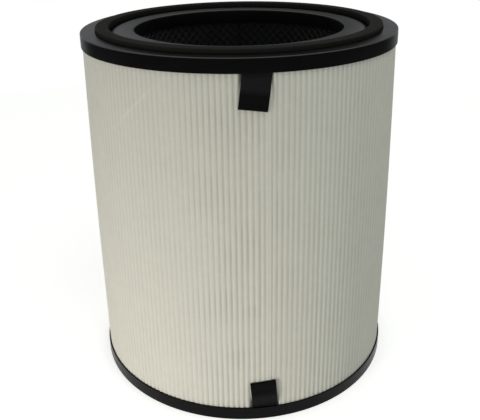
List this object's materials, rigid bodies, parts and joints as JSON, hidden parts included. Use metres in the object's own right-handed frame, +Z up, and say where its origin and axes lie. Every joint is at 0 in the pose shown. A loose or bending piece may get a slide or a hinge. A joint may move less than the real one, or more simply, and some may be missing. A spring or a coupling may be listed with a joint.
{
  "type": "air purifier filter",
  "caption": "Cylindrical air purifier filter: pleated paper ring under a thin white cover, black end caps with foam seals, open core with a net, and a webbing pull tab at each end.",
  "frame": {"origin": "centre of the lower rim face, on the axis of the core", "axes": "+Z up along the axis of the core, -Y towards the side with the two pull tabs"},
  "size_m": [0.25, 0.2516, 0.288],
  "materials": {
    "cap_plastic": "satin",
    "seal_foam": "matte",
    "potting_glue": "satin",
    "cover_nonwoven": "matte",
    "pleat_paper": "matte",
    "carbon_felt": "matte",
    "net_plastic": "satin",
    "webbing": "matte"
  },
  "bodies": {
    "root": {"bottom_cap": "cap_plastic", "top_cap": "cap_plastic", "bottom_gasket": "seal_foam", "top_gasket": "seal_foam", "bottom_glue": "potting_glue", "top_glue": "potting_glue", "prefilter_cover": "cover_nonwoven", "hepa_pleats": "pleat_paper", "carbon_layer": "carbon_felt", "inner_net": "net_plastic", "top_pull_tab": "webbing", "bottom_pull_tab": "webbing"}
  },
  "joints": []
}
